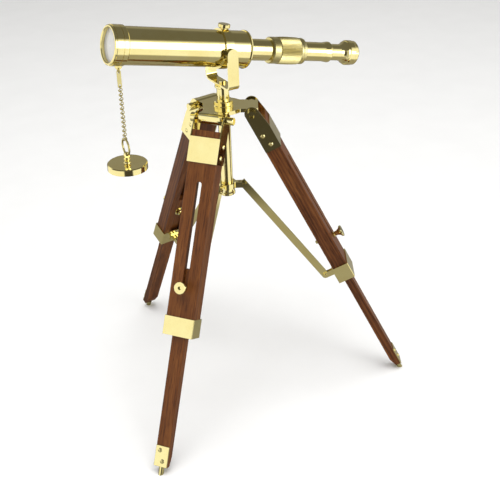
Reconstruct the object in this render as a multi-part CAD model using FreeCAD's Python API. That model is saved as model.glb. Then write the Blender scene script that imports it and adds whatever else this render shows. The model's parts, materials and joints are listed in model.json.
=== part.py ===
"""Brass table telescope on a folding wooden tripod.  Millimetres, +Z up, objective end towards +X.

The origin is on the floor, under the axis of the tripod's centre column.
"""
import FreeCAD
import Part
import math
import os

from FreeCAD import Vector as V

# ---- driving dimensions ---------------------------------------------------------------------
LEGS = {"a": 38.0, "b": 151.0, "c": 278.0}   # azimuth of each leg about +Z, degrees

# legs: s runs down a leg from its hinge, n points away from the tripod, t runs along the hinge
SPLAY = 26.4                  # angle between a spread leg and the column, degrees
HINGE_R = 29.6                # hinge axis from the column axis
HINGE_Z = 338.0
LEG_W = 31.8                  # wooden upper leg, along the hinge
LEG_N = (-7.5, 9.5)           # its inner and outer faces
LEG_S = (13.0, 227.4)         # its top and bottom ends
CHANNEL_W = 15.6              # hollow that the lower leg slides in
CHANNEL_N = (-3.8, 5.8)        # the upper leg is open behind it, the collar closes it
CHANNEL_TOP = 55.0
SLOT_W = 6.0
SLOT_S = (66.0, 180.2)
LOWER_W = 15.2
LOWER_N = (-3.6, 5.6)
LOWER_S = (158.0, 369.6)
LOCK_S = 177.0                # locking screw
BRACKET_T = 1.2               # sheet brass of the hinge bracket
BRACKET_S = (20.0, 46.5)
EAR_R = 7.6
COLLAR_S = (208.6, 228.6)
COLLAR_T = 1.3
PIVOT_S = 220.0               # lower pivot of the strut
PIVOT_N = -21.0
FOOT_PLATE_S = 347.0
FOOT_PLATE_T = 1.1
PIN_R = 2.9                   # foot pin, cut off level with the floor
BOLT_R = 2.5                  # hinge bolt

# head, column and strut hub
PLATE_TOP = 343.0
PLATE_T = 4.0
PLATE_R = 22.0                # its disc, between the three arms
ARM_W = 28.0
ARM_R = 36.5
COLUMN_R = 6.6
COLUMN_Z = (239.2, 362.4)
STOP_TOP = 246.6
HUB_T = 7.6
HUB_PIVOT_R = 18.5
STRUT_W = 8.0
STRUT_T = 2.2
STRUT_PIN_R = 1.4

# yoke and telescope: s runs along the optical axis from the tilt axis towards the objective
TILT_Z = 404.0
TILT = 12.0                   # objective end raised, degrees
YOKE_W = 12.0
YOKE_T = 2.0
YOKE_Y = 26.4                 # outer faces of the arms
YOKE_BASE = 365.6
YOKE_BEND = 6.5
TONGUE_AZIMUTH = 139.0        # locking tongue of the washer under the yoke
BARREL_R = 19.0
BARREL_WALL = 1.0
BARREL_S = (-25.4, 118.0)
BAND_W = 9.2
BAND_T = 1.7
CELL_S = (109.6, 122.7)
CELL_R = 20.2
GROOVE_S = 115.9              # front edge of the line turned into the cell, in front of the lug
OBJECTIVE_S = 125.2           # front of the bezel
APERTURE_R = 17.0
TUBE1_R = 11.25
TUBE2_R = 10.2
TUBE3_R = 8.85
GRIP_S = (-98.7, -57.0)       # knurled focus collar
TUBE2_END = -133.6
CUP_S = (-167.6, -155.6)
CUP_R = 13.5
LUG_S = 111.5                 # chain lug, under the cell
LUG_EYE = 2.5                 # its hole for the wire loop, below the cell

# lens cap hanging on its chain
CAP_BORE_R = CELL_R + 0.1     # pushes on over the objective cell
CAP_WALL = 0.6
CAP_TOP = 304.4
CAP_H = 6.8
CAP_EYE = 8.6                 # hole for the ring, above the cap's top
RING_R = 8.6                  # ring through the cap's post, centre line of its wire
RING_WIRE = 1.1
LOOP_R = 2.1                  # wire loop through the chain lug
LOOP_WIRE = 0.6
TAB_L = 17.0                  # flat swivel tab between the loop and the links
TAB_HOLE_R = 1.15
TAB_ENDS = (0.75, 2.6)        # its holes, from its top and from its bottom end
CHAIN_LINKS = 12
UPPER_LINKS = 6               # these swing together, and the rest swing on the last of them
LINK_W = 5.2
LINK_WIRE = 0.5
LINK_PLAY = 0.1               # between two links where they bear on each other

RUN = 0.06                    # radial clearance of turning and sliding fits


# ---- small helpers --------------------------------------------------------------------------
def box(x0, x1, y0, y1, z0, z1):
    return Part.makeBox(x1 - x0, y1 - y0, z1 - z0, V(x0, y0, z0))


def cyl(r, h, at=(0, 0, 0), axis=(0, 0, 1)):
    return Part.makeCylinder(r, h, V(*at), V(*axis))


def ring(r_out, r_in, h, at=(0, 0, 0), axis=(0, 0, 1)):
    return cyl(r_out, h, at, axis).cut(cyl(r_in, h, at, axis))


def turned(points, axis="x"):
    """Solid of revolution of an (along, radius) outline about X, or about Z."""
    if axis == "x":
        wire = [V(a, r, 0) for a, r in points]
        direction = V(1, 0, 0)
    else:
        wire = [V(r, 0, a) for a, r in points]
        direction = V(0, 0, 1)
    face = Part.Face(Part.makePolygon(wire + wire[:1]))
    return face.revolve(V(0, 0, 0), direction, 360)


def rounded(shape, radius, chosen):
    """Fillet the edges that chosen(edge) picks."""
    edges = [e for e in shape.Edges if chosen(e)]
    return shape.makeFillet(radius, edges)


def chamfered(shape, size, chosen):
    edges = [e for e in shape.Edges if chosen(e)]
    return shape.makeChamfer(size, edges)


def along(edge, axis):
    """True for a straight edge that runs along the given axis."""
    if not isinstance(edge.Curve, Part.Line):
        return False
    d = edge.Curve.Direction
    return abs(abs(d.dot(V(*axis))) - 1) < 1e-6


def axis_distance(edge):
    return math.hypot(edge.CenterOfMass.x, edge.CenterOfMass.y)


def in_leg_frame(shape, azimuth):
    """Place a shape drawn with x = n (outwards), y = t, z = -s on the spread leg."""
    shape = shape.copy()
    shape.rotate(V(0, 0, 0), V(0, 1, 0), -SPLAY)
    shape.translate(V(HINGE_R, 0, HINGE_Z))
    shape.rotate(V(0, 0, 0), V(0, 0, 1), azimuth)
    return shape


def leg_point(s, n):
    """(r, z) in the leg's radial plane of the point at s down the spread leg."""
    a = math.radians(SPLAY)
    return (HINGE_R + s * math.sin(a) + n * math.cos(a),
            HINGE_Z - s * math.cos(a) + n * math.sin(a))


def in_scope_frame(shape):
    """Place a shape drawn along X about the origin on the tilted optical axis."""
    shape = shape.copy()
    shape.rotate(V(0, 0, 0), V(0, 1, 0), -TILT)
    shape.translate(V(0, 0, TILT_Z))
    return shape


def save(name, shape):
    if shape.ShapeType == "Compound" and len(shape.Solids) == 1:
        shape = shape.Solids[0]
    if not shape.isValid():
        raise ValueError(name + " is not valid")
    shape.exportStep("parts/" + name + ".step")


# ---- head and column ------------------------------------------------------------------------
def head_plate():
    body = cyl(PLATE_R, PLATE_T, (0, 0, PLATE_TOP - PLATE_T))
    for azimuth in LEGS.values():
        arm = box(0, ARM_R, -ARM_W / 2, ARM_W / 2, PLATE_TOP - PLATE_T, PLATE_TOP)
        arm.rotate(V(0, 0, 0), V(0, 0, 1), azimuth)
        body = body.fuse(arm)
    body = body.removeSplitter()
    body = rounded(body, 5.0, lambda e: along(e, (0, 0, 1)) and axis_distance(e) < HINGE_R)
    body = rounded(body, 2.6, lambda e: along(e, (0, 0, 1)) and axis_distance(e) > HINGE_R)
    for azimuth in LEGS.values():
        lug = box(HINGE_R - 5.6, ARM_R, -ARM_W / 2, ARM_W / 2, HINGE_Z, PLATE_TOP - PLATE_T / 2)
        lug = lug.fuse(cyl(5.9, ARM_W, (HINGE_R, -ARM_W / 2, HINGE_Z), (0, 1, 0)))
        lug = lug.cut(cyl(BOLT_R, ARM_W, (HINGE_R, -ARM_W / 2, HINGE_Z), (0, 1, 0)))
        lug = lug.common(box(0, ARM_R, -ARM_W / 2 + 0.01, ARM_W / 2 - 0.01, 300, 400))
        trim = cyl(ARM_R, 40, (0, 0, 320))
        lug = lug.common(trim)
        bore = cyl(BOLT_R, ARM_W, (HINGE_R, -ARM_W / 2, HINGE_Z), (0, 1, 0))
        for piece in (lug, bore):
            piece.rotate(V(0, 0, 0), V(0, 0, 1), azimuth)
        body = body.fuse(lug).cut(bore)
    body = body.cut(cyl(COLUMN_R, 60, (0, 0, 320)))
    save("head_plate", body.removeSplitter())


def head_collar():
    points = [(PLATE_TOP, COLUMN_R), (PLATE_TOP, 10.9), (PLATE_TOP + 0.6, 10.9), (PLATE_TOP + 1.2, 10.3),
              (PLATE_TOP + 5.2, 10.3), (PLATE_TOP + 6.0, 9.5), (PLATE_TOP + 6.0, COLUMN_R)]
    save("head_collar", turned(points, "z"))


def centre_column():
    low, high = COLUMN_Z
    body = cyl(COLUMN_R, high - low, (0, 0, low))
    body = body.cut(cyl(2.0 + RUN, 12, (0, 0, high - 12)))
    save("centre_column", body)


def column_stop():
    low = COLUMN_Z[0]
    points = [(low, COLUMN_R), (low, 7.6), (low + 1.0, 8.8), (low + 3.2, 8.8), (low + 4.4, 7.8),
              (STOP_TOP - 0.8, 7.8), (STOP_TOP, 8.2), (STOP_TOP, COLUMN_R)]
    save("column_stop", turned(points, "z"))


def hinge_hardware():
    bolts, nuts = [], []
    ear_out = LEG_W / 2 + BRACKET_T
    for azimuth in LEGS.values():
        bolt = cyl(BOLT_R, 2 * ear_out + 2.6, (0, -ear_out - 2.3, 0), (0, 1, 0))
        head = cyl(4.1, 7.6, (0, ear_out + 0.3, 0), (0, 1, 0))
        head = chamfered(head, 0.5, lambda e: e.CenterOfMass.y > ear_out + 5)
        bolt = bolt.fuse(head).removeSplitter()
        nut = ring(4.9, BOLT_R, 2.0, (0, -ear_out - 2.3, 0), (0, 1, 0))
        cap = ring(4.9, 2.9, 3.6, (0, -ear_out - 5.9, 0), (0, 1, 0))
        nut = nut.fuse(cap).removeSplitter()
        for piece, group in ((bolt, bolts), (nut, nuts)):
            piece.translate(V(HINGE_R, 0, HINGE_Z))
            piece.rotate(V(0, 0, 0), V(0, 0, 1), azimuth)
            group.append(piece)
    save("hinge_bolts", Part.makeCompound(bolts))
    save("hinge_nuts", Part.makeCompound(nuts))


# ---- strut hub and struts -------------------------------------------------------------------
def strut_hub():
    body = cyl(10.0, HUB_T, (0, 0, STOP_TOP))
    body = chamfered(body, 0.6, lambda e: e.Curve.TypeId == "Part::GeomCircle")
    pivot_z = hub_pivot_z()
    for azimuth in LEGS.values():
        lug = box(0, HUB_PIVOT_R, -3.3, 3.3, pivot_z - 3.3, pivot_z + 3.3)
        lug = lug.fuse(cyl(3.3, 6.6, (HUB_PIVOT_R, -3.3, pivot_z), (0, 1, 0)))
        gap = box(HUB_PIVOT_R - 6.0, HUB_PIVOT_R + 8, -STRUT_T / 2 - 0.15, STRUT_T / 2 + 0.15, 230, 270)
        bore = cyl(STRUT_PIN_R, 8, (HUB_PIVOT_R, -4, pivot_z), (0, 1, 0))
        for piece in (lug, gap, bore):
            piece.rotate(V(0, 0, 0), V(0, 0, 1), azimuth)
        body = body.fuse(lug).cut(gap.fuse(bore))
    body = body.cut(cyl(COLUMN_R + RUN, 40, (0, 0, 230)))
    save("strut_hub", body.removeSplitter())


def hub_pivot_z():
    return STOP_TOP + 3.3 + 0.4


def hub_pins():
    pins = []
    for azimuth in LEGS.values():
        pin = cyl(STRUT_PIN_R, 7.0, (HUB_PIVOT_R, -3.5, hub_pivot_z()), (0, 1, 0))
        for side in (-1, 1):
            head = cyl(2.0, 0.7, (HUB_PIVOT_R, side * 3.3 if side > 0 else -4.0, hub_pivot_z()), (0, 1, 0))
            pin = pin.fuse(head)
        pin = pin.removeSplitter()
        pin.rotate(V(0, 0, 0), V(0, 0, 1), azimuth)
        pins.append(pin)
    save("hub_pins", Part.makeCompound(pins))


def strut(letter, azimuth):
    top = (HUB_PIVOT_R, hub_pivot_z())
    low = leg_point(PIVOT_S, PIVOT_N)
    length = math.hypot(low[0] - top[0], low[1] - top[1])
    lean = math.degrees(math.atan2(low[0] - top[0], top[1] - low[1]))
    body = box(-STRUT_W / 2, STRUT_W / 2, -STRUT_T / 2, STRUT_T / 2, -length, 4.4)
    body = body.fuse(cyl(STRUT_W / 2, STRUT_T, (0, -STRUT_T / 2, -length), (0, 1, 0)))
    for z, r in ((0, STRUT_PIN_R + RUN), (-length, STRUT_PIN_R + 0.1)):
        body = body.cut(cyl(r, 4, (0, -2, z), (0, 1, 0)))
    body = body.removeSplitter()
    body.rotate(V(0, 0, 0), V(0, 1, 0), -lean)
    body.translate(V(top[0], 0, top[1]))
    body.rotate(V(0, 0, 0), V(0, 0, 1), azimuth)
    save("strut_" + letter, body)


# ---- one leg --------------------------------------------------------------------------------
def ear_outline():
    """Side of the hinge bracket in the (n, z) plane: rounded over the hinge, square below."""
    top, bottom = BRACKET_S
    inner, outer = LEG_N[0], LEG_N[1] + BRACKET_T
    flat = Part.Face(Part.makePolygon([V(x, 0, z) for x, z in (
        (-EAR_R, 0), (EAR_R, 0), (outer, -top), (outer, -bottom), (inner, -bottom),
        (inner, -top), (-EAR_R, 0))]))
    return flat


def leg_bracket(letter, azimuth):
    half = LEG_W / 2
    body = None
    for side in (-1, 1):
        y = half if side > 0 else -half - BRACKET_T
        ear = ear_outline().extrude(V(0, BRACKET_T, 0))
        ear.translate(V(0, y, 0))
        ear = ear.fuse(cyl(EAR_R, BRACKET_T, (0, y, 0), (0, 1, 0)))
        body = ear if body is None else body.fuse(ear)
    front = box(LEG_N[1], LEG_N[1] + BRACKET_T, -half - BRACKET_T, half + BRACKET_T,
                -BRACKET_S[1], -BRACKET_S[0])
    body = body.fuse(front)
    body = body.cut(cyl(BOLT_R + RUN, 60, (0, -30, 0), (0, 1, 0)))
    for n, s in bracket_screw_places():
        body = body.cut(cyl(1.25, 60, (n, -30, -s), (0, 1, 0)))
    save("leg_bracket_" + letter, in_leg_frame(body.removeSplitter(), azimuth))


def bracket_screw_places():
    """(n, s) of the two screws in each ear."""
    return ((-1.5, 27.5), (2.0, 39.5))


def round_head_screw(shank_r, shank_l, head_r, head_h):
    """Screw along +Z: slotted domed head above z = 0, shank below it."""
    sphere_r = (head_r ** 2 + head_h ** 2) / (2 * head_h)
    dome = Part.makeSphere(sphere_r, V(0, 0, head_h - sphere_r))
    head = dome.common(cyl(head_r, head_h))
    head = head.cut(box(-head_r, head_r, -0.3, 0.3, head_h * 0.55, head_h + 1))
    return head.fuse(cyl(shank_r, shank_l, (0, 0, -shank_l))).removeSplitter()


def bracket_screws(letter, azimuth):
    screws = []
    for side in (-1, 1):
        for n, s in bracket_screw_places():
            screw = round_head_screw(1.25, 7.0, 2.4, 1.1)
            screw.rotate(V(0, 0, 0), V(1, 0, 0), -90 * side)
            screw.translate(V(n, side * (LEG_W / 2 + BRACKET_T), -s))
            screws.append(screw)
    save("bracket_screws_" + letter, in_leg_frame(Part.makeCompound(screws), azimuth))


def upper_leg(letter, azimuth):
    half = LEG_W / 2
    body = box(LEG_N[0], LEG_N[1], -half, half, -LEG_S[1], -LEG_S[0])
    body = chamfered(body, 0.5, lambda e: along(e, (0, 0, 1)))
    channel = box(LEG_N[0] - 1, CHANNEL_N[1], -CHANNEL_W / 2, CHANNEL_W / 2, -LEG_S[1] - 1, -CHANNEL_TOP)
    body = body.cut(channel)
    slot = box(0, 20, -SLOT_W / 2, SLOT_W / 2, -SLOT_S[1] + SLOT_W / 2, -SLOT_S[0] - SLOT_W / 2)
    for s in (SLOT_S[0] + SLOT_W / 2, SLOT_S[1] - SLOT_W / 2):
        slot = slot.fuse(cyl(SLOT_W / 2, 20, (0, 0, -s), (1, 0, 0)))
    body = body.cut(slot)
    for side in (-1, 1):
        for n, s in bracket_screw_places():
            y = half - 5.8 if side > 0 else -half
            body = body.cut(cyl(1.25, 5.8, (n, y, -s), (0, 1, 0)))
    save("upper_leg_" + letter, in_leg_frame(body.removeSplitter(), azimuth))


def leg_collar(letter, azimuth):
    half = LEG_W / 2
    inner, outer = LEG_N
    top, bottom = COLLAR_S
    shell = box(inner - COLLAR_T, outer + COLLAR_T, -half - COLLAR_T, half + COLLAR_T, -bottom, -top)
    shell = rounded(shell, 0.7, lambda e: along(e, (0, 0, 1)))
    hollow = box(inner, outer, -half, half, -LEG_S[1], -top + 1)
    mouth = box(CHANNEL_N[0], CHANNEL_N[1], -CHANNEL_W / 2, CHANNEL_W / 2, -bottom - 1, -LEG_S[1] + 1)
    body = shell.cut(hollow.fuse(mouth))
    back = inner - COLLAR_T
    body = body.fuse(box(back - 1.0, back, -5.4, 5.4, -PIVOT_S - 4.2, -PIVOT_S + 4.2))
    for side in (-1, 1):
        y = STRUT_T / 2 + 0.3 if side > 0 else -STRUT_T / 2 - 0.3 - 1.2
        ear = box(PIVOT_N, back - 0.5, y, y + 1.2, -PIVOT_S - 3.2, -PIVOT_S + 3.2)
        ear = ear.fuse(cyl(3.2, 1.2, (PIVOT_N, y, -PIVOT_S), (0, 1, 0)))
        rivet_y = y if side > 0 else y - 0.8
        ear = ear.fuse(cyl(1.9, 2.0, (PIVOT_N, rivet_y, -PIVOT_S), (0, 1, 0)))
        body = body.fuse(ear)
    save("leg_collar_" + letter, in_leg_frame(body.removeSplitter(), azimuth))


def lower_leg(letter, azimuth):
    inner, outer = LOWER_N
    body = box(inner, outer, -LOWER_W / 2, LOWER_W / 2, -LOWER_S[1], -LOWER_S[0])
    low = -LOWER_S[1] - 1
    wedge = Part.makePolygon([V(inner, -20, low + 12), V(inner, -20, low), V(inner + 3.6, -20, low),
                              V(inner, -20, low + 12)])
    body = body.cut(Part.Face(wedge).extrude(V(0, 40, 0)))
    body = body.cut(cyl(2.0, 30, (-15, 0, -LOCK_S), (1, 0, 0)))
    body = body.cut(cyl(1.6, 9, (1.6, 0, -LOWER_S[1]), (0, 0, 1)))
    save("lower_leg_" + letter, in_leg_frame(body, azimuth))


def foot_plate(letter, azimuth):
    outer = LOWER_N[1]
    body = box(outer, outer + FOOT_PLATE_T, -LOWER_W / 2, LOWER_W / 2, -LOWER_S[1], -FOOT_PLATE_S)
    body = chamfered(body, 0.3, lambda e: e.CenterOfMass.x > outer + FOOT_PLATE_T - 0.01)
    for t, s in ((-2.6, FOOT_PLATE_S + 5.0), (1.6, FOOT_PLATE_S + 16.5)):
        screw = round_head_screw(1.2, FOOT_PLATE_T, 2.5, 1.1)
        screw.rotate(V(0, 0, 0), V(0, 1, 0), 90)
        screw.translate(V(outer + FOOT_PLATE_T, t, -s))
        body = body.fuse(screw)
    save("foot_plate_" + letter, in_leg_frame(body.removeSplitter(), azimuth))


def foot_pin(letter, azimuth):
    body = cyl(PIN_R, 30, (1.6, 0, -LOWER_S[1] - 30), (0, 0, 1))
    body = body.fuse(cyl(1.6, 9, (1.6, 0, -LOWER_S[1]), (0, 0, 1))).removeSplitter()
    body = in_leg_frame(body, azimuth)
    body = body.cut(box(-500, 500, -500, 500, -60, 0))
    save("foot_pin_" + letter, body)


def lock_screw(letter, azimuth):
    """Screw with a trumpet-shaped knob outside, and a washer and nut behind the lower leg."""
    outer, inner = LEG_N[1], LOWER_N[0]
    knob = [(0.2, 0), (0.2, 3.4), (1.6, 3.4), (2.2, 2.5), (5.5, 2.9), (8.0, 4.2), (9.4, 6.1), (9.9, 6.5),
            (11.2, 6.5), (11.6, 6.1), (11.6, 2.0), (9.0, 2.0), (9.0, 0)]
    body = turned([(outer + n, r) for n, r in knob])
    body = body.fuse(cyl(2.0 - RUN, outer - inner + 1.2, (inner - 1.0, 0, 0), (1, 0, 0)))
    tail = [(0.1, 0), (0.1, 6.0), (0.9, 6.0), (0.9, 3.9), (4.2, 3.9), (4.7, 3.4), (4.7, 2.0), (8.0, 2.0),
            (8.6, 1.3), (8.6, 0)]
    body = body.fuse(turned([(inner - n, r) for n, r in tail])).removeSplitter()
    body.translate(V(0, 0, -LOCK_S))
    save("lock_screw_" + letter, in_leg_frame(body, azimuth))


# ---- yoke -----------------------------------------------------------------------------------
def yoke():
    """Flat strip bent up on both sides, rounded over the tilt axis."""
    half, thick, bend = YOKE_W / 2, YOKE_T, YOKE_BEND
    outer = rounded(box(-half, half, -YOKE_Y, YOKE_Y, YOKE_BASE, TILT_Z + half), bend,
                    lambda e: along(e, (1, 0, 0)) and e.CenterOfMass.z < YOKE_BASE + 1)
    inner = rounded(box(-half - 1, half + 1, -YOKE_Y + thick, YOKE_Y - thick, YOKE_BASE + thick, TILT_Z + 20),
                    bend - thick, lambda e: along(e, (1, 0, 0)) and e.CenterOfMass.z < YOKE_BASE + 3)
    body = outer.cut(inner)
    profile = box(-half, half, -40, 40, YOKE_BASE, TILT_Z).fuse(cyl(half, 80, (0, -40, TILT_Z), (0, 1, 0)))
    body = body.common(profile)
    body = body.cut(cyl(1.9, 80, (0, -40, TILT_Z), (0, 1, 0)))
    body = body.cut(cyl(2.0, 8, (0, 0, YOKE_BASE - 2)))
    save("yoke", body.removeSplitter())


def trunnion_pins():
    pins = []
    for side in (-1, 1):
        y = YOKE_Y - 6.2 if side > 0 else -YOKE_Y
        pins.append(cyl(1.9, 6.2, (0, y, TILT_Z), (0, 1, 0)))
    save("trunnion_pins", Part.makeCompound(pins))


def pan_hardware():
    top = COLUMN_Z[1]
    washer = ring(8.4, 2.0, YOKE_BASE - top - 0.2, (0, 0, top + 0.2))
    washer = chamfered(washer, 0.5, lambda e: abs(e.BoundBox.XLength - 16.8) < 0.1)
    tongue = box(6, 11.5, -3.5, 3.5, top + 0.2, YOKE_BASE - 0.2).fuse(
        cyl(3.5, YOKE_BASE - top - 0.4, (11.5, 0, top + 0.2)))
    tongue.rotate(V(0, 0, 0), V(0, 0, 1), TONGUE_AZIMUTH)
    save("pan_washer", washer.fuse(tongue).removeSplitter())
    head_z = YOKE_BASE + YOKE_T
    screw = cyl(2.0, 14.0, (0, 0, head_z - 14.0)).fuse(cyl(3.6, 2.2, (0, 0, head_z)))
    screw = screw.cut(box(-4, 4, -0.4, 0.4, head_z + 1.3, head_z + 3)).removeSplitter()
    save("pan_screw", screw)


# ---- telescope ------------------------------------------------------------------------------
def barrel():
    body = ring(BARREL_R, BARREL_R - BARREL_WALL, BARREL_S[1] - BARREL_S[0], (BARREL_S[0], 0, 0), (1, 0, 0))
    save("barrel", in_scope_frame(body))


def barrel_bezel():
    """Turned plug closing the rear of the barrel; its bush guides the first draw tube."""
    rear = BARREL_S[0]
    inner = BARREL_R - BARREL_WALL
    bore = TUBE1_R + RUN
    points = [(rear, inner), (rear, BARREL_R + 0.7), (rear - 0.7, BARREL_R + 1.0),
              (rear - 2.0, BARREL_R + 0.6), (rear - 2.6, BARREL_R - 1.0), (rear - 2.6, bore),
              (rear + 14, bore), (rear + 14, bore + 1.8), (rear, bore + 1.8), (rear, inner - 1.8),
              (rear + 6, inner - 1.8), (rear + 6, inner)]
    save("barrel_bezel", in_scope_frame(turned(points)))


def clamp_band():
    half, out = BAND_W / 2, BARREL_R + BAND_T
    body = ring(out, BARREL_R, BAND_W, (-half, 0, 0), (1, 0, 0))
    for side in (-1, 1):
        y = BARREL_R + 0.3 if side > 0 else -YOKE_Y + YOKE_T + 0.3
        body = body.fuse(cyl(5.4, YOKE_Y - YOKE_T - 0.6 - BARREL_R, (0, y, 0), (0, 1, 0)))
    body = body.fuse(cyl(3.6, 1.6, (0, 0, out - 0.6)))
    body = body.cut(cyl(1.9 + RUN, 80, (0, -40, 0), (0, 1, 0)))
    body = body.cut(cyl(2.0 + RUN, 6, (0, 0, BARREL_R - 1)))
    body = body.cut(cyl(BARREL_R, 2 * BAND_W, (-BAND_W, 0, 0), (1, 0, 0)))
    save("clamp_band", in_scope_frame(body.removeSplitter()))


def clamp_thumbscrew():
    base = BARREL_R + BAND_T + 1.0
    head = cyl(6.2, 4.0, (0, 0, base + 0.1))
    head = chamfered(head, 0.5, lambda e: e.Curve.TypeId == "Part::GeomCircle")
    shank = cyl(2.0, base - BARREL_R, (0, 0, BARREL_R + 0.15))
    save("clamp_thumbscrew", in_scope_frame(head.fuse(shank).removeSplitter()))


def objective_cell():
    rear, front = CELL_S
    seat = BARREL_S[1]
    groove = GROOVE_S
    points = [(rear, BARREL_R), (rear + 1.2, CELL_R), (groove - 0.5, CELL_R), (groove - 0.4, CELL_R - 0.4),
              (groove - 0.1, CELL_R - 0.4), (groove, CELL_R), (front, CELL_R), (front, 18.7), (seat, 18.7),
              (seat, BARREL_R)]
    body = turned(points)
    lug = box(LUG_S - 3.6, LUG_S + 3.6, -0.8, 0.8, -CELL_R - LUG_EYE - 1.4, -CELL_R + 0.4)
    lug = chamfered(lug, 2.0, lambda e: along(e, (0, 1, 0)) and e.CenterOfMass.z < -CELL_R - 2)
    lug = lug.cut(cyl(LOOP_WIRE + 0.35, 4, (LUG_S, -2, -CELL_R - LUG_EYE), (0, 1, 0)))
    save("objective_cell", in_scope_frame(body.fuse(lug).removeSplitter()))


def objective_bezel():
    front, back = OBJECTIVE_S, CELL_S[1]
    rim = CELL_R - 0.5
    points = [(back, 18.7), (back, rim), (front - 0.8, rim), (front, rim - 0.8),
              (front, APERTURE_R + 0.6), (front - 0.8, APERTURE_R), (back - 1.2, APERTURE_R),
              (back - 1.2, 18.7)]
    save("objective_bezel", in_scope_frame(turned(points)))


def lens(centre_s, radius, edge, bulge_front, bulge_rear):
    """Round lens along X with spherical faces."""
    half = edge / 2
    front = Part.Arc(V(half, radius, 0), V(half + bulge_front, 0, 0), V(half, -radius, 0)).toShape()
    right = Part.LineSegment(V(half, -radius, 0), V(-half, -radius, 0)).toShape()
    rear = Part.Arc(V(-half, -radius, 0), V(-half - bulge_rear, 0, 0), V(-half, radius, 0)).toShape()
    left = Part.LineSegment(V(-half, radius, 0), V(half, radius, 0)).toShape()
    outline = Part.Face(Part.Wire([front, right, rear, left]))
    half_plane = box(-20, 20, 0, 60, -1, 1)
    body = outline.common(half_plane).revolve(V(0, 0, 0), V(1, 0, 0), 360)
    body.translate(V(centre_s, 0, 0))
    return body


def objective_lens():
    rear = BARREL_S[1] + 0.1
    front = CELL_S[1] - 1.6
    glass = lens((rear + front) / 2, 18.6, front - rear, 1.4, 0.6)
    save("objective_lens", in_scope_frame(glass))


def draw_tube_1():
    body = ring(TUBE1_R, TUBE1_R - 0.8, 78.0, (GRIP_S[1] - 4.0, 0, 0), (1, 0, 0))
    save("draw_tube_1", in_scope_frame(body))


def erector_lenses():
    """Pair of lenses near the front of the first draw tube that turn the image upright."""
    front = GRIP_S[1] - 4.0 + 78.0
    glasses = [lens(front - depth, TUBE1_R - 0.8, 2.4, 0.9, 0.9) for depth in (3.0, 16.0)]
    save("erector_lenses", in_scope_frame(Part.makeCompound(glasses)))


def focus_collar():
    """Knurled grip screwed onto the first draw tube, guiding the second."""
    rear, front = GRIP_S
    bore = TUBE2_R + RUN
    points = [(front, TUBE1_R), (front, 13.2), (front - 1.2, 14.0), (front - 8.6, 14.0), (front - 9.2, 13.5),
              (front - 9.8, 14.2), (front - 22.0, 14.5), (front - 34.6, 14.2), (front - 35.2, 13.2),
              (front - 37.4, 13.2), (front - 38.0, 13.8), (rear + 1.0, 13.8), (rear, 12.8), (rear, bore),
              (front - 4.0, bore), (front - 4.0, TUBE1_R)]
    save("focus_collar", in_scope_frame(turned(points)))


def draw_tube_2():
    """Second draw tube with a flared lip at its rear end."""
    rear = TUBE2_END + 2.4
    front = GRIP_S[1] + 8.0
    points = [(front, TUBE2_R), (rear + 6.0, TUBE2_R), (rear + 2.0, TUBE2_R + 0.6), (rear, TUBE2_R + 0.9),
              (rear, TUBE2_R - 0.8), (front, TUBE2_R - 0.8)]
    save("draw_tube_2", in_scope_frame(turned(points)))


def draw_ring():
    """End ring of the second draw tube, guiding the eyepiece tube."""
    front = TUBE2_END + 2.4
    bore = TUBE3_R + RUN
    points = [(front, TUBE2_R + 0.9), (front - 1.4, TUBE2_R + 0.9), (TUBE2_END, TUBE2_R + 0.2),
              (TUBE2_END, bore), (front + 9, bore), (front + 9, TUBE2_R - 0.8), (front, TUBE2_R - 0.8)]
    save("draw_ring", in_scope_frame(turned(points)))


def eyepiece_tube():
    rear, front = CUP_S[1], TUBE2_END + 14.0
    points = [(front, TUBE3_R), (-146.5, TUBE3_R), (-149.5, 9.4), (-152.0, 10.5), (-153.8, 12.2),
              (rear, 12.4), (rear, TUBE3_R - 1.2), (front, TUBE3_R - 1.2)]
    save("eyepiece_tube", in_scope_frame(turned(points)))


def eyecup():
    rear, front = CUP_S
    points = [(front, TUBE3_R - 1.2), (front, CUP_R - 0.9), (front - 0.8, CUP_R), (front - 6.6, CUP_R),
              (front - 7.2, 13.1), (rear + 1.6, 13.0), (rear, 11.6), (rear, 8.0), (rear + 4.0, 4.6),
              (rear + 6.0, 4.6), (rear + 6.0, TUBE3_R - 1.2)]
    save("eyecup", in_scope_frame(turned(points)))


def eye_lens():
    glass = lens(CUP_S[0] + 7.6, TUBE3_R - 1.25, 3.0, 0.9, 0.05)
    save("eye_lens", in_scope_frame(glass))


# ---- chain and lens cap ---------------------------------------------------------------------
def chain_anchor():
    """(x, z) of the middle of the wire loop."""
    a = math.radians(TILT)
    down = CELL_R + LUG_EYE
    return (LUG_S * math.cos(a) + down * math.sin(a),
            TILT_Z + LUG_S * math.sin(a) - down * math.cos(a) - LOOP_R)


def stadium_link(length, width, wire):
    """One oval wire link in the XZ plane, centred on the origin, long way along Z."""
    r = width / 2 - wire
    straight = length / 2 - wire - r
    link = cyl(wire, 2 * straight, (-r, 0, -straight)).fuse(cyl(wire, 2 * straight, (r, 0, -straight)))
    for side in (-1, 1):
        bend = Part.makeTorus(r, wire, V(0, 0, side * straight), V(0, 1, 0))
        low, high = sorted((side * straight, side * length))
        link = link.fuse(bend.common(box(-width, width, -width, width, low, high)))
    return link.removeSplitter()


def chain_loop():
    """Wire loop through the lug's hole, in the plane across the barrel, hanging plumb."""
    x, z = chain_anchor()
    save("chain_loop", Part.makeTorus(LOOP_R, LOOP_WIRE, V(x, 0, z), V(1, 0, 0)))


def tab_holes():
    """Heights of the tab's two holes: one on the loop, one for the first link."""
    upper = chain_anchor()[1] - LOOP_R
    return upper, upper + TAB_ENDS[0] - TAB_L + TAB_ENDS[1]


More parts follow.
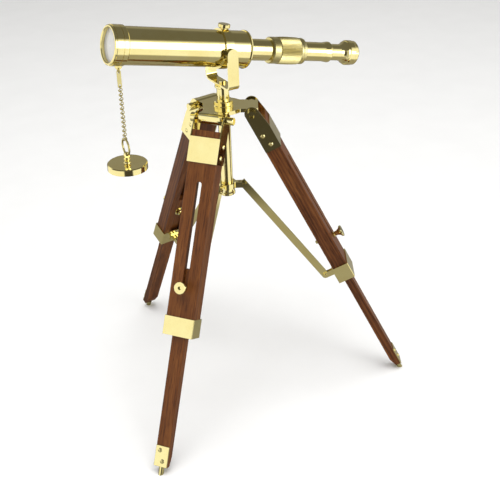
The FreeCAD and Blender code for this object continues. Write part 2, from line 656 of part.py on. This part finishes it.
def chain_tab():
    x, _ = chain_anchor()
    upper, lower = tab_holes()
    body = box(x - 2.2, x + 2.2, -0.5, 0.5, lower - TAB_ENDS[1], upper + 2.6)
    body = rounded(body, 2.1, lambda e: along(e, (0, 1, 0)))
    for height in (upper, lower):
        body = body.cut(cyl(TAB_HOLE_R, 4, (x, -2, height), (0, 1, 0)))
    save("chain_tab", body)


def chain_links():
    """Oval links hanging in line, each turned a quarter turn from the one above."""
    x, _ = chain_anchor()
    top_wire = tab_holes()[1] - 0.4
    bottom_wire = ring_centre() + RING_R - RING_WIRE - LINK_WIRE - 0.2
    pitch = (top_wire - bottom_wire - 2 * LINK_WIRE - LINK_PLAY) / CHAIN_LINKS
    length = pitch + 4 * LINK_WIRE + LINK_PLAY
    links = []
    for i in range(CHAIN_LINKS):
        link = stadium_link(length, LINK_W, LINK_WIRE)
        link.rotate(V(0, 0, 0), V(0, 0, 1), 90 if i % 2 == 0 else 0)
        link.translate(V(x, 0, top_wire + LINK_WIRE - length / 2 - i * pitch))
        links.append(link)
    save("chain_upper", Part.makeCompound(links[:UPPER_LINKS]))
    save("chain_lower", Part.makeCompound(links[UPPER_LINKS:]))


def ring_centre():
    return CAP_TOP + CAP_EYE + RING_R


def cap_ring():
    x, _ = chain_anchor()
    save("cap_ring", Part.makeTorus(RING_R, RING_WIRE, V(x, 0, ring_centre()), V(1, 0, 0)))


def lens_cap():
    x, _ = chain_anchor()
    low, top = CAP_TOP - CAP_H, CAP_TOP
    outer = CAP_BORE_R + CAP_WALL
    shell = turned([(top, 0), (top, outer - 0.9), (top - 0.9, outer), (low, outer), (low, CAP_BORE_R),
                    (top - 1.4, CAP_BORE_R), (top - 1.4, 0)], "z")
    post = turned([(top - 0.5, 0), (top - 0.5, 4.2), (top + 0.8, 3.6), (top + 1.6, 2.7), (top + 2.6, 2.7),
                   (top + 3.4, 3.4), (top + 4.4, 3.4), (top + 5.4, 2.8), (top + 6.4, 2.8),
                   (top + 7.6, 3.1), (top + 9.6, 3.1), (top + 10.8, 2.4), (top + 11.2, 1.2),
                   (top + 11.2, 0)], "z")
    eye_cheeks = box(-5, 5, -5, 5, top + 6.4, top + 12).cut(box(-5, 5, -1.7, 1.7, top + 6.4, top + 12))
    hole = cyl(RING_WIRE + 0.45, 10, (0, -5, top + CAP_EYE), (0, 1, 0))
    body = shell.fuse(post.cut(eye_cheeks).cut(hole)).removeSplitter()
    body.translate(V(x, 0, 0))
    save("lens_cap", body)


def main():
    os.makedirs("parts", exist_ok=True)
    for make in (head_plate, head_collar, centre_column, column_stop, hinge_hardware, strut_hub, hub_pins,
                 yoke, trunnion_pins, pan_hardware, barrel, barrel_bezel, clamp_band, clamp_thumbscrew,
                 objective_cell, objective_bezel, objective_lens, draw_tube_1, erector_lenses,
                 focus_collar, draw_tube_2, draw_ring, eyepiece_tube, eyecup, eye_lens, chain_loop,
                 chain_tab, chain_links, cap_ring, lens_cap):
        make()
    for letter, azimuth in LEGS.items():
        for make in (leg_bracket, bracket_screws, upper_leg, leg_collar, lower_leg, foot_plate, foot_pin,
                     lock_screw, strut):
            make(letter, azimuth)


main()
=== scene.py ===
import json
import math

import bmesh
import bpy
from mathutils import Matrix, Vector


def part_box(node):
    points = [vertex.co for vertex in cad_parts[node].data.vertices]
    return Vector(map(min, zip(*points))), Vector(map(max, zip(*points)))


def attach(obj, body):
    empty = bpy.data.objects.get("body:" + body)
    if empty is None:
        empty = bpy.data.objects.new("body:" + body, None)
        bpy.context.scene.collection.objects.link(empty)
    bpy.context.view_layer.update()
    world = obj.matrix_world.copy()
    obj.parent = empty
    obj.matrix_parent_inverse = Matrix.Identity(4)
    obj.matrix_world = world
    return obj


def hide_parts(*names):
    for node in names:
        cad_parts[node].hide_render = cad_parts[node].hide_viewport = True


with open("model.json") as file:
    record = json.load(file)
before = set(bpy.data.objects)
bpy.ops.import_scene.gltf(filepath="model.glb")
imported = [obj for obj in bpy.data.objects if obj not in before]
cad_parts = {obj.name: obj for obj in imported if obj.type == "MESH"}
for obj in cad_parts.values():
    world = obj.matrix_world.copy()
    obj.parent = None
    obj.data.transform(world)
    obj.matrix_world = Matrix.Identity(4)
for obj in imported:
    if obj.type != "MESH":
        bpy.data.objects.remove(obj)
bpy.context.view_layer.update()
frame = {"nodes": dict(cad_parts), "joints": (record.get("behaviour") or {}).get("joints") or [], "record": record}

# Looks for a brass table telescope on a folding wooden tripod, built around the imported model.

MM = 0.001
JOINTS = {joint["name"]: joint for joint in frame["joints"]}
LEGS = "abc"

# the telescope's own frame: the optical axis, and the direction square to it that points up
TILT_CENTRE = Vector(JOINTS["scope_tilt"]["pos_m"])
OPTICAL = Vector(JOINTS["draw_1_slide"]["axis"]).normalized()
SIDE = Vector((0, 1, 0))
SCOPE_UP = OPTICAL.cross(SIDE).normalized()


# ---- node helpers ---------------------------------------------------------------------------
class Graph:
    """A new material, with short ways to add and link its shader nodes."""

    def __init__(self, name):
        self.material = bpy.data.materials.new(name)
        self.material.use_nodes = True
        self.nodes = self.material.node_tree.nodes
        self.links = self.material.node_tree.links
        self.shader = self.nodes["Principled BSDF"]

    def add(self, kind, **values):
        node = self.nodes.new(kind)
        for key, value in values.items():
            if key in node.inputs:
                node.inputs[key].default_value = value
            else:
                setattr(node, key, value)
        return node

    def link(self, source, target):
        self.links.new(source, target)

    def noise(self, vector, scale, detail=3.0, rough=0.5, distortion=0.0):
        node = self.add("ShaderNodeTexNoise", Scale=scale, Detail=detail, Roughness=rough,
                        Distortion=distortion)
        self.link(vector, node.inputs["Vector"])
        return node.outputs["Fac"]

    def ramp(self, value, stops):
        node = self.add("ShaderNodeValToRGB")
        elements = node.color_ramp.elements
        while len(elements) < len(stops):
            elements.new(0.5)
        for element, (position, colour) in zip(elements, stops):
            element.position = position
            element.color = (*colour, 1.0)
        self.link(value, node.inputs["Fac"])
        return node.outputs["Color"]

    def scaled(self, value, low, high):
        """Map 0..1 to low..high."""
        node = self.add("ShaderNodeMapRange")
        node.inputs["To Min"].default_value = low
        node.inputs["To Max"].default_value = high
        self.link(value, node.inputs["Value"])
        return node.outputs["Result"]

    def math(self, operation, first, second):
        node = self.add("ShaderNodeMath", operation=operation)
        self.link(first, node.inputs[0])
        self.link(second, node.inputs[1])
        return node.outputs["Value"]

    def mix(self, factor, first, second, blend="MIX"):
        node = self.add("ShaderNodeMix", data_type="RGBA", blend_type=blend)
        for name, value in (("Factor", factor), ("A", first), ("B", second)):
            socket = node.inputs[name]
            if isinstance(value, (int, float)):
                socket.default_value = value
            elif isinstance(value, tuple):
                socket.default_value = (*value, 1.0)
            else:
                self.link(value, socket)
        return node.outputs["Result"]

    def object_space(self, turn=None, scale=(1, 1, 1)):
        """Object coordinates, scaled, and turned first where a turn is given."""
        coordinates = self.add("ShaderNodeTexCoord").outputs["Object"]
        node = self.add("ShaderNodeMapping", vector_type="TEXTURE" if turn is not None else "POINT")
        self.link(coordinates, node.inputs["Vector"])
        if turn is None:
            node.inputs["Scale"].default_value = scale
            return node.outputs["Vector"]
        node.inputs["Rotation"].default_value = turn
        stretch = self.add("ShaderNodeMapping", Scale=scale)
        self.link(node.outputs["Vector"], stretch.inputs["Vector"])
        return stretch.outputs["Vector"]

    def eased_edges(self, radius):
        """Normals rounded over sharp edges."""
        return self.add("ShaderNodeBevel", samples=EDGE_SAMPLES, Radius=radius).outputs["Normal"]

    def bump(self, height, strength, distance, previous=None):
        node = self.add("ShaderNodeBump", Strength=strength, Distance=distance)
        self.link(height, node.inputs["Height"])
        if previous is not None:
            self.link(previous, node.inputs["Normal"])
        return node.outputs["Normal"]


# ---- materials ------------------------------------------------------------------------------
BRASS_LIGHT = (0.89, 0.785, 0.37)
BRASS_DEEP = (0.85, 0.725, 0.31)
BLACK_PAINT = (0.012, 0.011, 0.010)
WOOD_DARK, WOOD_MIDDLE, WOOD_PALE = (0.050, 0.0125, 0.0025), (0.125, 0.038, 0.0075), (0.215, 0.078, 0.017)
RING_DARK, RING_PALE = (0.062, 0.016, 0.003), (0.185, 0.062, 0.013)
PORE_SHADE, NO_SHADE = (0.38, 0.33, 0.30), (1.0, 1.0, 1.0)
WOOD_EDGE = 0.8 * MM             # rounding of the legs' edges
EDGE_SAMPLES = 6
GRAIN_STRETCH = 0.06             # scale of the wood's figure along the leg, against across it
BORE_RADIUS = 18.2 * MM          # the barrel is black up to here and brass from BORE_EDGE outwards
BORE_EDGE = 18.6 * MM


def brass_graph(name, rough=0.07, tint=1.0):
    """Polished, lacquered brass with faint tarnish clouds, fine scratches and a soft waviness."""
    g = Graph(name)
    space = g.object_space()
    clouds = g.noise(space, 38.0, 4.0, 0.6)
    light = tuple(c * tint for c in BRASS_LIGHT)
    deep = tuple(c * tint for c in BRASS_DEEP)
    g.link(g.ramp(clouds, [(0.35, deep), (0.62, light)]), g.shader.inputs["Base Color"])
    g.shader.inputs["Metallic"].default_value = 1.0
    scratches = g.noise(g.object_space(scale=(900.0, 900.0, 60.0)), 1.0, 2.0, 0.7)
    smudges = g.noise(space, 120.0, 3.0, 0.55)
    spread = g.math("ADD", g.scaled(smudges, rough * 0.5, rough * 1.5), g.scaled(scratches, 0.0, rough * 0.5))
    g.link(spread, g.shader.inputs["Roughness"])
    wave = g.bump(g.noise(space, 55.0, 1.0), 0.05, 0.0006)
    g.link(g.bump(scratches, 0.02, 0.0002, wave), g.shader.inputs["Normal"])
    return g


def brass(name, rough=0.07, tint=1.0):
    return brass_graph(name, rough, tint).material


def mahogany(name, turn, offset):
    """Dark red-brown wood with its grain along the leg, under satin lacquer."""
    g = Graph(name)
    along = g.object_space(turn=turn, scale=(1.0, 1.0, GRAIN_STRETCH))
    shift = g.add("ShaderNodeMapping", Location=offset)
    g.link(along, shift.inputs["Vector"])
    space = shift.outputs["Vector"]
    figure = g.noise(space, 90.0, 4.0, 0.55, 1.4)
    fibres = g.noise(space, 900.0, 3.0, 0.65, 0.4)
    rings = g.add("ShaderNodeTexWave", Scale=75.0, Distortion=6.0, Detail=3.0, wave_type="BANDS",
                  bands_direction="X")
    rings.inputs["Detail Scale"].default_value = 2.0
    g.link(space, rings.inputs["Vector"])
    tone = g.mix(0.45, g.ramp(figure, [(0.30, WOOD_DARK), (0.50, WOOD_MIDDLE), (0.72, WOOD_PALE)]),
                 g.ramp(rings.outputs["Fac"], [(0.1, RING_DARK), (0.9, RING_PALE)]))
    pores = g.ramp(fibres, [(0.38, PORE_SHADE), (0.52, NO_SHADE)])
    g.link(g.mix(0.75, tone, pores, "MULTIPLY"), g.shader.inputs["Base Color"])
    g.link(g.scaled(fibres, 0.38, 0.54), g.shader.inputs["Roughness"])
    g.shader.inputs["Specular IOR Level"].default_value = 0.20
    g.shader.inputs["Coat Weight"].default_value = 0.05
    g.shader.inputs["Coat Roughness"].default_value = 0.25
    g.link(g.bump(fibres, 0.22, 0.0004, g.eased_edges(WOOD_EDGE)), g.shader.inputs["Normal"])
    return g.material


def optical_glass(name, tone, clear):
    """Glass of which the given share is clear; the rest is a pale diffuse face, a painted reflection in place of
    the bright surroundings that the glass mirrors.
    """
    g = Graph(name)
    g.shader.inputs["Base Color"].default_value = (*tone, 1.0)
    g.shader.inputs["Transmission Weight"].default_value = clear
    g.shader.inputs["IOR"].default_value = 1.52
    dust = g.noise(g.object_space(), 260.0, 2.0)
    g.link(g.scaled(dust, 0.0, 0.035), g.shader.inputs["Roughness"])
    return g.material


def blackened_bore(name):
    """Brass outside, matt black paint on what lies near enough to the optical axis."""
    g = brass_graph(name)
    place = g.add("ShaderNodeTexCoord").outputs["Object"]
    offset = g.add("ShaderNodeVectorMath", operation="SUBTRACT")
    g.link(place, offset.inputs[0])
    offset.inputs[1].default_value = TILT_CENTRE
    cross = g.add("ShaderNodeVectorMath", operation="CROSS_PRODUCT")
    g.link(offset.outputs["Vector"], cross.inputs[0])
    cross.inputs[1].default_value = OPTICAL
    length = g.add("ShaderNodeVectorMath", operation="LENGTH")
    g.link(cross.outputs["Vector"], length.inputs[0])
    reach = g.add("ShaderNodeMapRange")
    reach.inputs["From Min"].default_value = BORE_RADIUS
    reach.inputs["From Max"].default_value = BORE_EDGE
    g.link(length.outputs["Value"], reach.inputs["Value"])
    paint = g.add("ShaderNodeBsdfPrincipled", Roughness=0.75)
    paint.inputs["Base Color"].default_value = (*BLACK_PAINT, 1.0)
    mixed = g.add("ShaderNodeMixShader")
    g.link(reach.outputs["Result"], mixed.inputs["Fac"])
    g.link(paint.outputs["BSDF"], mixed.inputs[1])
    g.link(g.shader.outputs["BSDF"], mixed.inputs[2])
    g.link(mixed.outputs["Shader"], g.nodes["Material Output"].inputs["Surface"])
    return g.material


def dress(node, material):
    """Give a carried-over node a material in place of its stored one."""
    piece = frame["nodes"][node]
    piece.data.materials.clear()
    piece.data.materials.append(material)


# ---- detail pieces --------------------------------------------------------------------------
KNURL_RIBS = 60
KNURL_DEPTH = 0.55 * MM
SHARP_EDGE = math.radians(32)    # edges of the collar that turn more than this stay sharp
# the collar's section, once round: mm behind its front end, radius in mm, whether the knurl is cut
COLLAR_SECTION = (
    (4.0, 11.25, False), (0.0, 11.25, False), (0.0, 13.2, False), (1.2, 14.0, False),
    (8.6, 14.0, False), (9.2, 13.5, False), (9.4, 13.6, False), (9.9, 14.2, True),
    (15.0, 14.4, True), (22.0, 14.5, True), (29.0, 14.4, True), (34.5, 14.2, True),
    (35.0, 13.6, False), (35.2, 13.2, False), (37.4, 13.2, False), (38.0, 13.8, False),
    (40.7, 13.8, False), (41.7, 12.8, False), (41.7, 10.26, False), (4.0, 10.26, False))
CHAIN_GROUPS = {"chain_upper": 6, "chain_lower": 6}      # links in each node, from the top down
LINK_WIRE = 0.5 * MM             # radius of the wire
LINK_PLAY = 0.1 * MM             # between two links where they bear on each other
WIRE_SIDES = 10
LINK_POINTS = 40
LINK_SQUARENESS = 2.5            # how soon a link's path reaches its straight side
TWISTED_SHARE = 0.45             # middle part of a link that takes its quarter twist


def new_piece(name, mesh, material, body, slot, *stands_for):
    piece = bpy.data.objects.new(name, mesh)
    bpy.context.scene.collection.objects.link(piece)
    mesh.materials.append(material)
    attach(piece, body)
    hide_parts(*stands_for)
    return piece


def front_of(node):
    """How far a node reaches along the optical axis, from the tilt axis."""
    return max((v.co - TILT_CENTRE).dot(OPTICAL) for v in frame["nodes"][node].data.vertices)


def knurled_collar(material):
    """The focus collar with a straight knurl around its grip."""
    front = front_of("focus_collar")
    count = 2 * KNURL_RIBS
    made = bmesh.new()
    rings = []
    for back, radius, ribbed in COLLAR_SECTION:
        centre = TILT_CENTRE + OPTICAL * (front - back * MM)
        ring = []
        for i in range(count):
            turn = 2 * math.pi * i / count
            reach = radius * MM - (KNURL_DEPTH if ribbed and i % 2 else 0)
            outward = math.cos(turn) * SIDE + math.sin(turn) * SCOPE_UP
            ring.append(made.verts.new(centre + reach * outward))
        rings.append((ring, ribbed))
    for (near, near_ribbed), (far, far_ribbed) in zip(rings, rings[1:] + rings[:1]):
        for i in range(count):
            k = (i + 1) % count
            face = made.faces.new((near[i], near[k], far[k], far[i]))
            face.smooth = not (near_ribbed and far_ribbed)
    bmesh.ops.recalc_face_normals(made, faces=made.faces)
    mesh = bpy.data.meshes.new("knurled_focus_collar")
    made.to_mesh(mesh)
    made.free()
    mesh.set_sharp_from_angle(angle=SHARP_EDGE)
    return new_piece("knurled_focus_collar", mesh, material, "draw_1", "knurled_brass", "focus_collar")


def limited(value):
    return max(-1.0, min(1.0, value))


def curb_link(made, centre, length, width):
    """One oval wire link with a quarter twist: its top runs along Y and its bottom along X."""
    radius = width / 2 - LINK_WIRE
    half = length / 2 - LINK_WIRE
    straight = half - radius
    path = []
    for i in range(LINK_POINTS):
        turn = 2 * math.pi * i / LINK_POINTS
        across, height = radius * math.sin(turn), radius * math.cos(turn)
        height += straight * limited(LINK_SQUARENESS * math.cos(turn))
        twist = math.pi / 4 * (1 + limited(height / (TWISTED_SHARE * half)))
        path.append(centre + Vector((across * math.cos(twist), across * math.sin(twist), height)))
    rings = []
    for i, point in enumerate(path):
        tangent = (path[(i + 1) % LINK_POINTS] - path[i - 1]).normalized()
        outward = (point - centre).normalized()
        outward = (outward - tangent * outward.dot(tangent)).normalized()
        third = tangent.cross(outward)
        rings.append([made.verts.new(point + LINK_WIRE * (math.cos(a) * outward + math.sin(a) * third))
                      for a in (2 * math.pi * k / WIRE_SIDES for k in range(WIRE_SIDES))])
    for i, ring in enumerate(rings):
        after = rings[(i + 1) % LINK_POINTS]
        for k in range(WIRE_SIDES):
            n = (k + 1) % WIRE_SIDES
            made.faces.new((ring[k], ring[n], after[n], after[k])).smooth = True


def curb_chain(material):
    """Twisted links in place of the plain ones, at the same pitch."""
    low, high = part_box("chain_lower")[0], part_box("chain_upper")[1]
    width = high[0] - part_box("chain_upper")[0][0]
    shared = 4 * LINK_WIRE + LINK_PLAY       # height that two neighbouring links both take up
    pitch = (high[2] - low[2] - shared) / sum(CHAIN_GROUPS.values())
    length = pitch + shared
    x, y = (high[0] + low[0]) / 2, (high[1] + low[1]) / 2
    height = high[2] - length / 2
    for node, count in CHAIN_GROUPS.items():
        made = bmesh.new()
        for _ in range(count):
            curb_link(made, Vector((x, y, height)), length, width)
            height -= pitch
        bmesh.ops.recalc_face_normals(made, faces=made.faces)
        mesh = bpy.data.meshes.new("curb_" + node)
        made.to_mesh(mesh)
        made.free()
        new_piece("curb_" + node, mesh, material, node, "chain_brass", node)


# ---- studio ---------------------------------------------------------------------------------
CAMERA_PLACE = (0.4614, 0.9093, 0.7287)
CAMERA_HEADING = math.radians(-118.17)
CAMERA_PITCH = math.radians(28.87)
CAMERA_ROLL = math.radians(-2.05)
CAMERA_LENS = 73.56              # mm, for a 36 mm wide picture
WALL = (1.14, 1.14, 1.14)
FAR_WALL = (0.30, 0.29, 0.27)
CEILING = (0.16, 0.155, 0.145)
OPENING = (0.07, 0.065, 0.06)
OPENING_SIDE = math.radians(63.0)            # azimuth of the tent's opening
# where the walls change, as the cosine of the angle from the opening's side
FAR_ENDS, NEAR_STARTS, NEAR_ENDS, OPENING_STARTS = -0.78, -0.62, 0.90, 0.945
CEILING_STARTS, CEILING_FULL = math.radians(29), math.radians(38)
FLOOR_HALF = 14.0
PAPER_DARK, PAPER_PALE = (0.87, 0.87, 0.865), (0.89, 0.89, 0.885)
MIRRORED_PAPER = (0.30, 0.29, 0.27)
PAPER_RADIUS = 0.44              # reflections show the paper up to here and the wall from WALL_RADIUS
WALL_RADIUS = 1.2 * PAPER_RADIUS


def camera():
    """Camera at the photograph's viewing angle, looking down on the telescope's left side."""
    level = Vector((math.cos(CAMERA_HEADING), math.sin(CAMERA_HEADING), 0))
    forward = math.cos(CAMERA_PITCH) * level - math.sin(CAMERA_PITCH) * Vector((0, 0, 1))
    flat_right = forward.cross(Vector((0, 0, 1))).normalized()
    flat_up = flat_right.cross(forward)
    right = math.cos(CAMERA_ROLL) * flat_right + math.sin(CAMERA_ROLL) * flat_up
    up = math.cos(CAMERA_ROLL) * flat_up - math.sin(CAMERA_ROLL) * flat_right
    data = bpy.data.cameras.new("camera")
    data.sensor_width = 36.0
    data.lens = CAMERA_LENS
    data.clip_start = 0.01
    data.clip_end = 60.0
    eye = bpy.data.objects.new("camera", data)
    turn = Matrix((right, up, -forward)).transposed().to_4x4()
    eye.matrix_world = Matrix.Translation(CAMERA_PLACE) @ turn
    bpy.context.scene.collection.objects.link(eye)
    bpy.context.scene.camera = eye


def tent_wall(nodes, links, place):
    """Colour of the tent's wall in the direction of the given vector, as seen from the origin."""
    level = nodes.new("ShaderNodeVectorMath")
    level.operation = "MULTIPLY"
    links.new(place, level.inputs[0])
    level.inputs[1].default_value = (1, 1, 0)
    heading = nodes.new("ShaderNodeVectorMath")
    heading.operation = "NORMALIZE"
    links.new(level.outputs["Vector"], heading.inputs[0])
    towards = nodes.new("ShaderNodeVectorMath")
    towards.operation = "DOT_PRODUCT"
    links.new(heading.outputs["Vector"], towards.inputs[0])
    towards.inputs[1].default_value = (math.cos(OPENING_SIDE), math.sin(OPENING_SIDE), 0)
    share = nodes.new("ShaderNodeMapRange")
    share.inputs["From Min"].default_value = -1.0
    links.new(towards.outputs["Value"], share.inputs["Value"])
    walls = nodes.new("ShaderNodeValToRGB")
    links.new(share.outputs["Result"], walls.inputs["Fac"])
    stops = walls.color_ramp.elements
    changes = ((FAR_ENDS, FAR_WALL), (NEAR_STARTS, WALL), (NEAR_ENDS, WALL), (OPENING_STARTS, OPENING))
    while len(stops) < len(changes):
        stops.new(0.5)
    for stop, (cosine, colour) in zip(stops, changes):
        stop.position = (cosine + 1) / 2
        stop.color = (*colour, 1)
    return walls.outputs["Color"]


def floor():
    """Pale paper.  In reflections it is dimmer, and the tent's walls stand around it."""
    mesh = bpy.data.meshes.new("floor")
    corners = [(x * FLOOR_HALF, y * FLOOR_HALF, 0) for x, y in ((-1, -1), (1, -1), (1, 1), (-1, 1))]
    mesh.from_pydata(corners, [], [(0, 1, 2, 3)])
    slab = bpy.data.objects.new("floor", mesh)
    bpy.context.scene.collection.objects.link(slab)
    g = Graph("floor")
    place = g.object_space()
    g.shader.inputs["Roughness"].default_value = 0.9
    g.shader.inputs["Specular IOR Level"].default_value = 0.1
    tone = g.ramp(g.noise(place, 14.0), [(0.3, PAPER_DARK), (0.7, PAPER_PALE)])
    mirrored = g.add("ShaderNodeLightPath").outputs["Is Glossy Ray"]
    g.link(g.mix(mirrored, tone, MIRRORED_PAPER), g.shader.inputs["Base Color"])
    distance = g.add("ShaderNodeVectorMath", operation="LENGTH")
    g.link(place, distance.inputs[0])
    beyond = g.add("ShaderNodeMapRange")
    beyond.inputs["From Min"].default_value = PAPER_RADIUS
    beyond.inputs["From Max"].default_value = WALL_RADIUS
    g.link(distance.outputs["Value"], beyond.inputs["Value"])
    wall = g.add("ShaderNodeEmission")
    g.link(tent_wall(g.nodes, g.links, place), wall.inputs["Color"])
    seen = g.add("ShaderNodeMixShader")
    g.link(g.math("MULTIPLY", mirrored, beyond.outputs["Result"]), seen.inputs["Fac"])
    g.link(g.shader.outputs["BSDF"], seen.inputs[1])
    g.link(wall.outputs["Emission"], seen.inputs[2])
    g.link(seen.outputs["Shader"], g.nodes["Material Output"].inputs["Surface"])
    mesh.materials.append(g.material)


def surroundings():
    """A white tent: two bright walls, a dim far wall and ceiling, and a dark opening."""
    world = bpy.data.worlds.new("tent")
    world.use_nodes = True
    bpy.context.scene.world = world
    nodes, links = world.node_tree.nodes, world.node_tree.links
    direction = nodes.new("ShaderNodeTexCoord").outputs["Generated"]
    split = nodes.new("ShaderNodeSeparateXYZ")
    links.new(direction, split.inputs["Vector"])
    height = nodes.new("ShaderNodeMapRange")
    height.inputs["From Min"].default_value = math.sin(CEILING_STARTS)
    height.inputs["From Max"].default_value = math.sin(CEILING_FULL)
    links.new(split.outputs["Z"], height.inputs["Value"])
    mixed = nodes.new("ShaderNodeMix")
    mixed.data_type = "RGBA"
    links.new(height.outputs["Result"], mixed.inputs["Factor"])
    links.new(tent_wall(nodes, links, direction), mixed.inputs["A"])
    mixed.inputs["B"].default_value = (*CEILING, 1)
    links.new(mixed.outputs["Result"], nodes["Background"].inputs["Color"])


def softbox(name, place, target, width, height, power):
    data = bpy.data.lights.new(name, "AREA")
    data.shape = "RECTANGLE"
    data.size, data.size_y = width, height
    data.energy = power
    lamp = bpy.data.objects.new(name, data)
    away = Vector(place) - Vector(target)
    lamp.matrix_world = Matrix.Translation(place) @ away.to_track_quat("Z", "Y").to_matrix().to_4x4()
    bpy.context.scene.collection.objects.link(lamp)
    return lamp


def dress_all():
    """Materials for the carried-over nodes, and the pieces that stand for the other three."""
    polished = brass("polished_brass")
    chain = brass("chain_brass", rough=0.18, tint=0.72)
    glass = optical_glass("lens_glass", (0.97, 0.99, 1.0), 1.0)
    by_slot = {"polished_brass": polished, "knurled_brass": polished, "chain_brass": chain,
               "lens_glass": glass}
    for part in frame["record"]["subparts"]:
        if part["material_slot"] in by_slot:
            dress(part["node"], by_slot[part["material_slot"]])
    knurled_collar(brass("knurled_brass", rough=0.26, tint=0.80))
    curb_chain(chain)
    # the objective lens is 30 % clear glass; the other 70 % is a pale diffuse face, a painted reflection of the
    # bright surroundings
    dress("objective_lens", optical_glass("lens_glass_painted_reflection", (0.93, 0.91, 0.86), 0.30))
    dress("barrel", blackened_bore("blackened_barrel"))
    for i, leg in enumerate(LEGS):
        up = Vector(JOINTS["leg_slide_" + leg]["axis"])
        across = Vector(JOINTS["leg_fold_" + leg]["axis"])
        turn = Matrix((across.cross(-up), across, up)).transposed().to_euler()
        dress("upper_leg_" + leg, mahogany("mahogany_upper_" + leg, turn, (0.31 * i, 0.17, 0.05 * i)))
        dress("lower_leg_" + leg, mahogany("mahogany_lower_" + leg, turn, (0.13, 0.29 * i, 0.41)))


bpy.context.scene.view_settings.view_transform = "Standard"
camera()
floor()
surroundings()
softbox("key", (-1.2, 2.1, 0.85), (0, 0, 0.25), 1.3, 1.5, 16.0)
softbox("top", (0.2, 0.4, 2.7), (0, 0, 0), 2.6, 2.6, 84.0).visible_glossy = False
dress_all()
